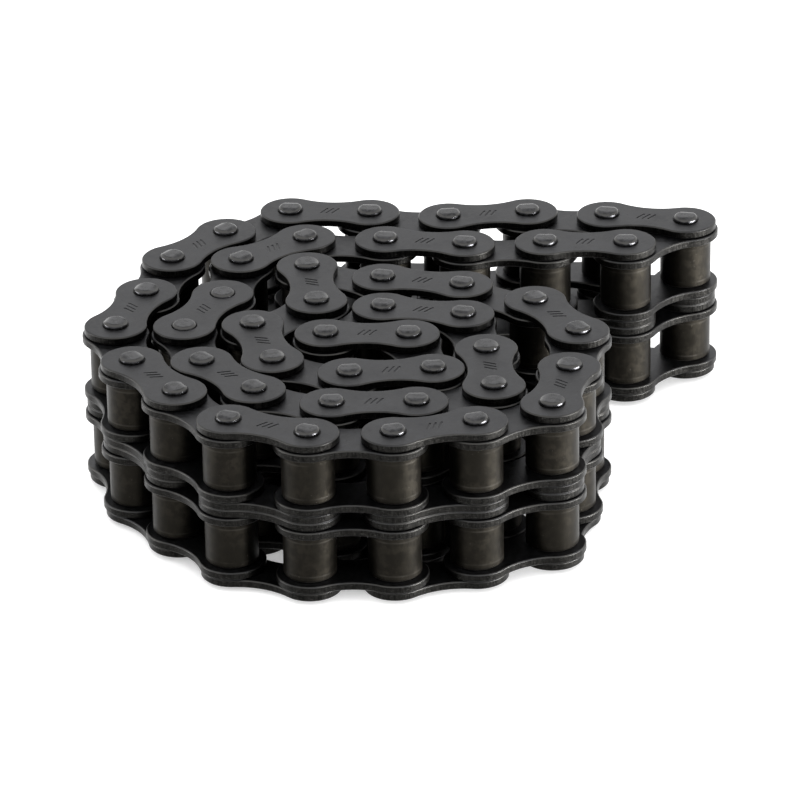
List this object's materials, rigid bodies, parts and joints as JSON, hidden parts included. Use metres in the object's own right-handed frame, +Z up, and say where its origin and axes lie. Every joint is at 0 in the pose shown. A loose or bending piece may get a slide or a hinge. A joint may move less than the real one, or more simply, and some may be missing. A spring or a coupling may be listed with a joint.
{
  "type": "roller chain",
  "caption": "Endless two-strand roller chain lying coiled on its side, every link pivoting on its pins so that the coil loosens.",
  "frame": {"origin": "under the middle of the coil, on the surface that the lower pin ends stand on", "axes": "+Z up along the pins, +X along the longer side of the coil towards the fold, +Y towards the back row"},
  "size_m": [0.1494, 0.1342, 0.0412],
  "materials": {
    "outer_link_steel": "blackened steel, satin",
    "inner_link_steel": "blackened steel, satin",
    "plate_steel": "blackened steel, satin, bright at the sheared edges",
    "pin_steel": "hardened steel, semi-bright",
    "bush_steel": "hardened steel, oiled",
    "roller_steel": "hardened steel, oiled, satin"
  },
  "bodies": {
    "closing_link": {"closing_cover_plate": "plate_steel", "closing_base_plate": "plate_steel", "closing_centre_plates": "plate_steel", "closing_pins": "pin_steel"},
    "inner_link_01": {"inner_link_01": "inner_link_steel"},
    "outer_link_02": {"outer_link_02": "outer_link_steel"},
    "inner_link_02": {"inner_link_02": "inner_link_steel"},
    "outer_link_03": {"outer_link_03": "outer_link_steel"},
    "inner_link_03": {"inner_link_03": "inner_link_steel"},
    "outer_link_04": {"outer_link_04": "outer_link_steel"},
    "fold_link": {"fold_lower_plate_bottom": "plate_steel", "fold_lower_plate_top": "plate_steel", "fold_lower_bush_first": "bush_steel", "fold_lower_bush_second": "bush_steel", "fold_upper_plate_bottom": "plate_steel", "fold_upper_plate_top": "plate_steel", "fold_upper_bush_first": "bush_steel", "fold_upper_bush_second": "bush_steel"},
    "outer_link_05": {"outer_link_05": "outer_link_steel"},
    "inner_link_05": {"inner_link_05": "inner_link_steel"},
    "outer_link_06": {"outer_link_06": "outer_link_steel"},
    "inner_link_06": {"inner_link_06": "inner_link_steel"},
    "outer_link_07": {"outer_link_07": "outer_link_steel"},
    "inner_link_07": {"inner_link_07": "inner_link_steel"},
    "outer_link_08": {"outer_link_08": "outer_link_steel"},
    "inner_link_08": {"inner_link_08": "inner_link_steel"},
    "outer_link_09": {"outer_link_09": "outer_link_steel"},
    "inner_link_09": {"inner_link_09": "inner_link_steel"},
    "outer_link_10": {"outer_link_10": "outer_link_steel"},
    "inner_link_10": {"inner_link_10": "inner_link_steel"},
    "outer_link_11": {"outer_link_11": "outer_link_steel"},
    "inner_link_11": {"inner_link_11": "inner_link_steel"},
    "outer_link_12": {"outer_link_12": "outer_link_steel"},
    "inner_link_12": {"inner_link_12": "inner_link_steel"},
    "outer_link_13": {"outer_link_13": "outer_link_steel"},
    "inner_link_13": {"inner_link_13": "inner_link_steel"},
    "outer_link_14": {"outer_link_14": "outer_link_steel"},
    "inner_link_14": {"inner_link_14": "inner_link_steel"},
    "outer_link_15": {"outer_link_15": "outer_link_steel"},
    "inner_link_15": {"inner_link_15": "inner_link_steel"},
    "outer_link_16": {"outer_link_16": "outer_link_steel"},
    "inner_link_16": {"inner_link_16": "inner_link_steel"},
    "outer_link_17": {"outer_link_17": "outer_link_steel"},
    "inner_link_17": {"inner_link_17": "inner_link_steel"},
    "outer_link_18": {"outer_link_18": "outer_link_steel"},
    "inner_link_18": {"inner_link_18": "inner_link_steel"},
    "outer_link_19": {"outer_link_19": "outer_link_steel"},
    "inner_link_19": {"inner_link_19": "inner_link_steel"},
    "outer_link_20": {"outer_link_20": "outer_link_steel"},
    "inner_link_20": {"inner_link_20": "inner_link_steel"},
    "outer_link_21": {"outer_link_21": "outer_link_steel"},
    "inner_link_21": {"inner_link_21": "inner_link_steel"},
    "outer_link_22": {"outer_link_22": "outer_link_steel"},
    "inner_link_22": {"inner_link_22": "inner_link_steel"},
    "outer_link_23": {"outer_link_23": "outer_link_steel"},
    "inner_link_23": {"inner_link_23": "inner_link_steel"},
    "fold_lower_roller_first": {"fold_lower_roller_first": "roller_steel"},
    "fold_lower_roller_second": {"fold_lower_roller_second": "roller_steel"},
    "fold_upper_roller_first": {"fold_upper_roller_first": "roller_steel"},
    "fold_upper_roller_second": {"fold_upper_roller_second": "roller_steel"}
  },
  "joints": [
    {"name": "hinge_24", "type": "hinge", "parent": "inner_link_12", "child": "outer_link_13", "pos_m": [0.03219, -0.04629, 0.0206], "axis": [0, 0, -1], "range_deg": [0, 39.71]},
    {"name": "hinge_01", "type": "hinge", "parent": "inner_link_01", "child": "closing_link", "pos_m": [-0.04264, 0.01361, 0.0206], "axis": [0, 0, 1], "range_deg": [-15.51, 0]},
    {"name": "hinge_02", "type": "hinge", "parent": "outer_link_02", "child": "inner_link_01", "pos_m": [-0.03868, 0.03224, 0.0206], "axis": [0, 0, 1], "range_deg": [-2.78, 0]},
    {"name": "hinge_03", "type": "hinge", "parent": "inner_link_02", "child": "outer_link_02", "pos_m": [-0.02367, 0.04397, 0.0206], "axis": [0, 0, 1], "range_deg": [0, 12.93]},
    {"name": "hinge_04", "type": "hinge", "parent": "outer_link_03", "child": "inner_link_02", "pos_m": [-0.00469, 0.04231, 0.0206], "axis": [0, 0, 1], "range_deg": [0, 2.48]},
    {"name": "hinge_05", "type": "hinge", "parent": "inner_link_03", "child": "outer_link_03", "pos_m": [0.0141, 0.03917, 0.0206], "axis": [0, 0, 1], "range_deg": [-40.86, 0]},
    {"name": "hinge_06", "type": "hinge", "parent": "outer_link_04", "child": "inner_link_03", "pos_m": [0.03315, 0.03933, 0.0206], "axis": [0, 0, 1], "range_deg": [-29.28, 0]},
    {"name": "hinge_07", "type": "hinge", "parent": "fold_link", "child": "outer_link_04", "pos_m": [0.05218, 0.0385, 0.0206], "axis": [0, 0, 1], "range_deg": [0, 19.28]},
    {"name": "hinge_08", "type": "hinge", "parent": "outer_link_05", "child": "fold_link", "pos_m": [0.06698, 0.05049, 0.0206], "axis": [0, 0, 1], "range_deg": [0, 53.45]},
    {"name": "hinge_09", "type": "hinge", "parent": "inner_link_05", "child": "outer_link_05", "pos_m": [0.04835, 0.05445, 0.0206], "axis": [0, 0, 1], "range_deg": [-4.06, 0]},
    {"name": "hinge_10", "type": "hinge", "parent": "outer_link_06", "child": "inner_link_05", "pos_m": [0.02944, 0.05677, 0.0206], "axis": [0, 0, 1], "range_deg": [0, 2.38]},
    {"name": "hinge_11", "type": "hinge", "parent": "inner_link_06", "child": "outer_link_06", "pos_m": [0.01048, 0.05495, 0.0206], "axis": [0, 0, 1], "range_deg": [-52.52, 0]},
    {"name": "hinge_12", "type": "hinge", "parent": "outer_link_07", "child": "inner_link_06", "pos_m": [-0.00836, 0.05776, 0.0206], "axis": [0, 0, 1], "range_deg": [-17.73, 0]},
    {"name": "hinge_13", "type": "hinge", "parent": "inner_link_07", "child": "outer_link_07", "pos_m": [-0.02734, 0.05942, 0.0206], "axis": [0, 0, 1], "range_deg": [0, 51.48]},
    {"name": "hinge_14", "type": "hinge", "parent": "outer_link_08", "child": "inner_link_07", "pos_m": [-0.04265, 0.04809, 0.0206], "axis": [0, 0, 1], "range_deg": [0, 8.79]},
    {"name": "hinge_15", "type": "hinge", "parent": "inner_link_08", "child": "outer_link_08", "pos_m": [-0.0549, 0.0335, 0.0206], "axis": [0, 0, 1], "range_deg": [0, 12.66]},
    {"name": "hinge_16", "type": "hinge", "parent": "outer_link_09", "child": "inner_link_08", "pos_m": [-0.06047, 0.01528, 0.0206], "axis": [0, 0, 1], "range_deg": [-53.53, 0]},
    {"name": "hinge_17", "type": "hinge", "parent": "inner_link_09", "child": "outer_link_09", "pos_m": [-0.06698, -0.00262, 0.0206], "axis": [0, 0, 1], "range_deg": [0, 57.36]},
    {"name": "hinge_18", "type": "hinge", "parent": "outer_link_10", "child": "inner_link_09", "pos_m": [-0.06254, -0.02114, 0.0206], "axis": [0, 0, 1], "range_deg": [0, 3.12]},
    {"name": "hinge_19", "type": "hinge", "parent": "inner_link_10", "child": "outer_link_10", "pos_m": [-0.0523, -0.03721, 0.0206], "axis": [0, 0, 1], "range_deg": [-10.77, 0]},
    {"name": "hinge_20", "type": "hinge", "parent": "outer_link_11", "child": "inner_link_10", "pos_m": [-0.04006, -0.0518, 0.0206], "axis": [0, 0, 1], "range_deg": [0, 6.21]},
    {"name": "hinge_21", "type": "hinge", "parent": "inner_link_11", "child": "outer_link_11", "pos_m": [-0.02246, -0.05909, 0.0206], "axis": [0, 0, 1], "range_deg": [0, 2.87]},
    {"name": "hinge_22", "type": "hinge", "parent": "outer_link_12", "child": "inner_link_11", "pos_m": [-0.00341, -0.05942, 0.0206], "axis": [0, 0, 1], "range_deg": [-3.56, 0]},
    {"name": "hinge_23", "type": "hinge", "parent": "inner_link_12", "child": "outer_link_12", "pos_m": [0.01499, -0.05449, 0.0206], "axis": [0, 0, 1], "range_deg": [-9.29, 0]},
    {"name": "hinge_25", "type": "hinge", "parent": "outer_link_13", "child": "inner_link_13", "pos_m": [0.03663, -0.02777, 0.0206], "axis": [0, 0, 1], "range_deg": [0, 36.83]},
    {"name": "hinge_26", "type": "hinge", "parent": "inner_link_13", "child": "outer_link_14", "pos_m": [0.03929, -0.0089, 0.0206], "axis": [0, 0, 1], "range_deg": [-11.91, 0]},
    {"name": "hinge_27", "type": "hinge", "parent": "outer_link_14", "child": "inner_link_14", "pos_m": [0.0299, 0.00768, 0.0206], "axis": [0, 0, 1], "range_deg": [-13.55, 0]},
    {"name": "hinge_28", "type": "hinge", "parent": "inner_link_14", "child": "outer_link_15", "pos_m": [0.01308, 0.01662, 0.0206], "axis": [0, 0, 1], "range_deg": [0, 7.26]},
    {"name": "hinge_29", "type": "hinge", "parent": "outer_link_15", "child": "inner_link_15", "pos_m": [-0.0054, 0.02123, 0.0206], "axis": [0, 0, 1], "range_deg": [0, 23.41]},
    {"name": "hinge_30", "type": "hinge", "parent": "inner_link_15", "child": "outer_link_16", "pos_m": [-0.02312, 0.02821, 0.0206], "axis": [0, 0, 1], "range_deg": [-43.6, 0]},
    {"name": "hinge_31", "type": "hinge", "parent": "outer_link_16", "child": "inner_link_16", "pos_m": [-0.0208, 0.0093, 0.0206], "axis": [0, 0, 1], "range_deg": [0, 43.96]},
    {"name": "hinge_32", "type": "hinge", "parent": "inner_link_16", "child": "outer_link_17", "pos_m": [-0.0354, -0.00294, 0.0206], "axis": [0, 0, 1], "range_deg": [-12.25, 0]},
    {"name": "hinge_33", "type": "hinge", "parent": "outer_link_17", "child": "inner_link_17", "pos_m": [-0.03063, -0.02139, 0.0206], "axis": [0, 0, 1], "range_deg": [-2.85, 0]},
    {"name": "hinge_34", "type": "hinge", "parent": "inner_link_17", "child": "outer_link_18", "pos_m": [-0.01316, -0.02898, 0.0206], "axis": [0, 0, 1], "range_deg": [0, 13.35]},
    {"name": "hinge_35", "type": "hinge", "parent": "outer_link_18", "child": "inner_link_18", "pos_m": [0.00585, -0.02765, 0.0206], "axis": [0, 0, 1], "range_deg": [-8.05, 0]},
    {"name": "hinge_36", "type": "hinge", "parent": "inner_link_18", "child": "outer_link_19", "pos_m": [0.00044, -0.00939, 0.0206], "axis": [0, 0, 1], "range_deg": [0, 1.96]},
    {"name": "hinge_37", "type": "hinge", "parent": "outer_link_19", "child": "inner_link_19", "pos_m": [-0.01859, -0.00839, 0.0206], "axis": [0, 0, 1], "range_deg": [0, 1.83]},
    {"name": "hinge_38", "type": "hinge", "parent": "inner_link_19", "child": "outer_link_20", "pos_m": [-0.00535, 0.00531, 0.0206], "axis": [0, 0, 1], "range_deg": [0, 1.9]},
    {"name": "hinge_39", "type": "hinge", "parent": "outer_link_20", "child": "inner_link_20", "pos_m": [0.01313, 0.0007, 0.0206], "axis": [0, 0, 1], "range_deg": [-7.54, 0]},
    {"name": "hinge_40", "type": "hinge", "parent": "inner_link_20", "child": "outer_link_21", "pos_m": [0.01806, -0.0177, 0.0206], "axis": [0, 0, 1], "range_deg": [0, 11.26]},
    {"name": "hinge_41", "type": "hinge", "parent": "outer_link_21", "child": "inner_link_21", "pos_m": [0.01939, -0.0367, 0.0206], "axis": [0, 0, 1], "range_deg": [-1.97, 0]},
    {"name": "hinge_42", "type": "hinge", "parent": "inner_link_21", "child": "outer_link_22", "pos_m": [0.00192, -0.0443, 0.0206], "axis": [0, 0, 1], "range_deg": [0, 2.28]},
    {"name": "hinge_43", "type": "hinge", "parent": "outer_link_22", "child": "inner_link_22", "pos_m": [-0.01713, -0.0443, 0.0206], "axis": [0, 0, 1], "range_deg": [-11.4, 0]},
    {"name": "hinge_44", "type": "hinge", "parent": "inner_link_22", "child": "outer_link_23", "pos_m": [-0.0346, -0.0367, 0.0206], "axis": [0, 0, 1], "range_deg": [0, 8.56]},
    {"name": "hinge_45", "type": "hinge", "parent": "outer_link_23", "child": "inner_link_23", "pos_m": [-0.04666, -0.02195, 0.0206], "axis": [0, 0, 1], "range_deg": [-3.38, 0]},
    {"name": "lower_roller_first_spin", "type": "hinge", "parent": "fold_link", "child": "fold_lower_roller_first", "pos_m": [0.05218, 0.0385, 0.01087], "axis": [0, 0, 1], "continuous": true},
    {"name": "lower_roller_second_spin", "type": "hinge", "parent": "fold_link", "child": "fold_lower_roller_second", "pos_m": [0.06698, 0.05049, 0.01087], "axis": [0, 0, 1], "continuous": true},
    {"name": "upper_roller_first_spin", "type": "hinge", "parent": "fold_link", "child": "fold_upper_roller_first", "pos_m": [0.05218, 0.0385, 0.03033], "axis": [0, 0, 1], "continuous": true},
    {"name": "upper_roller_second_spin", "type": "hinge", "parent": "fold_link", "child": "fold_upper_roller_second", "pos_m": [0.06698, 0.05049, 0.03033], "axis": [0, 0, 1], "continuous": true}
  ],
  "couplings": [
    {"joint": "hinge_01", "follows": "hinge_24", "ratio": -0.3905},
    {"joint": "hinge_02", "follows": "hinge_24", "ratio": -0.069781},
    {"joint": "hinge_03", "follows": "hinge_24", "ratio": 0.32547},
    {"joint": "hinge_04", "follows": "hinge_24", "ratio": 0.062416},
    {"joint": "hinge_05", "follows": "hinge_24", "ratio": -1.0289},
    {"joint": "hinge_06", "follows": "hinge_24", "ratio": -0.73714},
    {"joint": "hinge_07", "follows": "hinge_24", "ratio": 0.48542},
    {"joint": "hinge_08", "follows": "hinge_24", "ratio": 1.346},
    {"joint": "hinge_09", "follows": "hinge_24", "ratio": -0.10201},
    {"joint": "hinge_10", "follows": "hinge_24", "ratio": 0.059728},
    {"joint": "hinge_11", "follows": "hinge_24", "ratio": -1.3224},
    {"joint": "hinge_12", "follows": "hinge_24", "ratio": -0.44624},
    {"joint": "hinge_13", "follows": "hinge_24", "ratio": 1.2964},
    {"joint": "hinge_14", "follows": "hinge_24", "ratio": 0.22121},
    {"joint": "hinge_15", "follows": "hinge_24", "ratio": 0.31874},
    {"joint": "hinge_16", "follows": "hinge_24", "ratio": -1.348},
    {"joint": "hinge_17", "follows": "hinge_24", "ratio": 1.4443},
    {"joint": "hinge_18", "follows": "hinge_24", "ratio": 0.078523},
    {"joint": "hinge_19", "follows": "hinge_24", "ratio": -0.27122},
    {"joint": "hinge_20", "follows": "hinge_24", "ratio": 0.15619},
    {"joint": "hinge_21", "follows": "hinge_24", "ratio": 0.072136},
    {"joint": "hinge_22", "follows": "hinge_24", "ratio": -0.089449},
    {"joint": "hinge_23", "follows": "hinge_24", "ratio": -0.23372},
    {"joint": "hinge_25", "follows": "hinge_24", "ratio": 0.92746},
    {"joint": "hinge_26", "follows": "hinge_24", "ratio": -0.2998},
    {"joint": "hinge_27", "follows": "hinge_24", "ratio": -0.34101},
    {"joint": "hinge_28", "follows": "hinge_24", "ratio": 0.18259},
    {"joint": "hinge_29", "follows": "hinge_24", "ratio": 0.58951},
    {"joint": "hinge_30", "follows": "hinge_24", "ratio": -1.0978},
    {"joint": "hinge_31", "follows": "hinge_24", "ratio": 1.1069},
    {"joint": "hinge_32", "follows": "hinge_24", "ratio": -0.3083},
    {"joint": "hinge_33", "follows": "hinge_24", "ratio": -0.071669},
    {"joint": "hinge_34", "follows": "hinge_24", "ratio": 0.33611},
    {"joint": "hinge_35", "follows": "hinge_24", "ratio": -0.20253},
    {"joint": "hinge_36", "follows": "hinge_24", "ratio": 0.04923},
    {"joint": "hinge_37", "follows": "hinge_24", "ratio": 0.046064},
    {"joint": "hinge_38", "follows": "hinge_24", "ratio": 0.047722},
    {"joint": "hinge_39", "follows": "hinge_24", "ratio": -0.18978},
    {"joint": "hinge_40", "follows": "hinge_24", "ratio": 0.28337},
    {"joint": "hinge_41", "follows": "hinge_24", "ratio": -0.049574},
    {"joint": "hinge_42", "follows": "hinge_24", "ratio": 0.0573},
    {"joint": "hinge_43", "follows": "hinge_24", "ratio": -0.28687},
    {"joint": "hinge_44", "follows": "hinge_24", "ratio": 0.21556},
    {"joint": "hinge_45", "follows": "hinge_24", "ratio": -0.084875}
  ]
}
